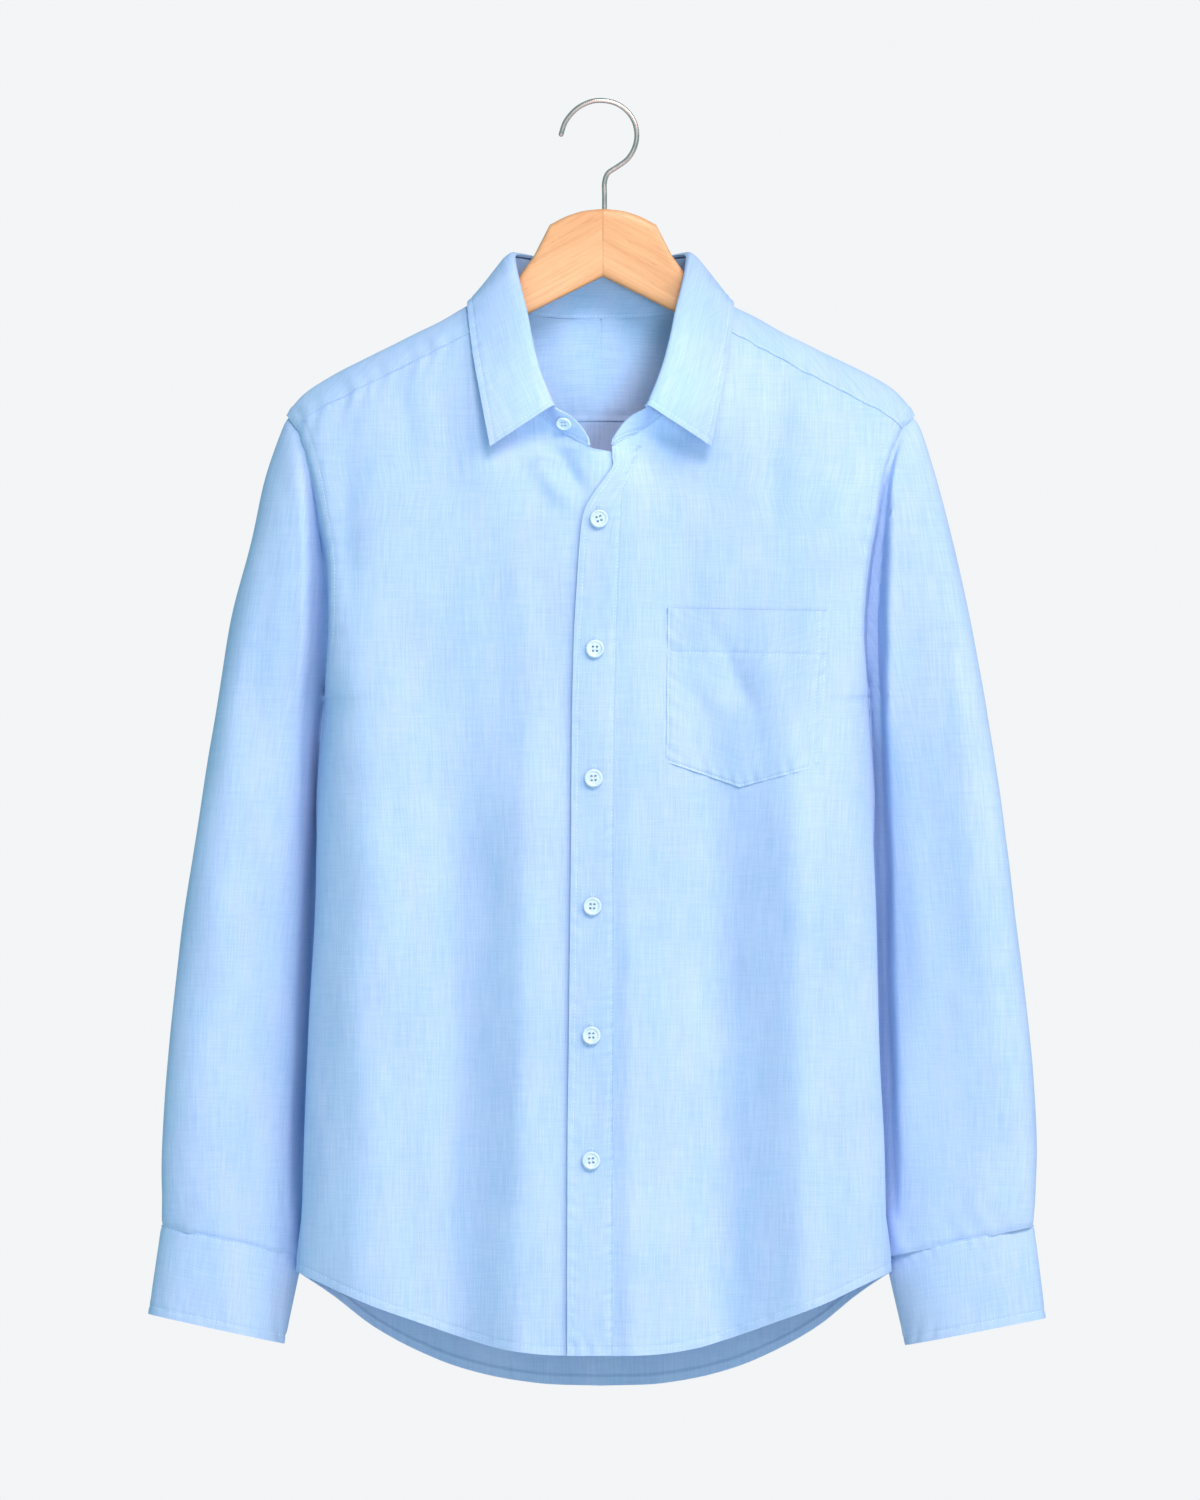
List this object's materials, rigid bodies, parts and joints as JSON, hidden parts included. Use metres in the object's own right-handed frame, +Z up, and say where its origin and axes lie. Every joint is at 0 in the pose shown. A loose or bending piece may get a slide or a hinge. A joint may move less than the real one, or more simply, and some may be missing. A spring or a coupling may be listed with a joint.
{
  "type": "linen shirt",
  "caption": "Pale blue long-sleeved linen shirt with a turned-down collar and a chest pocket, on a wooden hanger.",
  "frame": {"origin": "the inside crest of the hanger's hook, where it hangs on a rod", "axes": "+Z up, the shirt's front faces -Y, the wearer's left is at +X"},
  "size_m": [0.6299, 0.1177, 0.9036],
  "materials": {
    "linen": "matt woven linen with uneven yarns",
    "buttons": "satin",
    "beech": "satin lacquer",
    "steel": "bright drawn wire"
  },
  "bodies": {
    "root": {"front_right": "linen", "front_left": "linen", "placket": "linen", "back": "linen", "yoke": "linen", "sleeve_right": "linen", "sleeve_left": "linen", "cuff_right": "linen", "cuff_left": "linen", "collar_stand": "linen", "collar": "linen", "pocket": "linen", "button_1": "buttons", "button_2": "buttons", "button_3": "buttons", "button_4": "buttons", "button_5": "buttons", "button_6": "buttons", "button_collar": "buttons", "button_cuff_right": "buttons", "button_cuff_left": "buttons", "hanger_right": "beech", "hanger_left": "beech", "hook": "steel"}
  },
  "joints": []
}
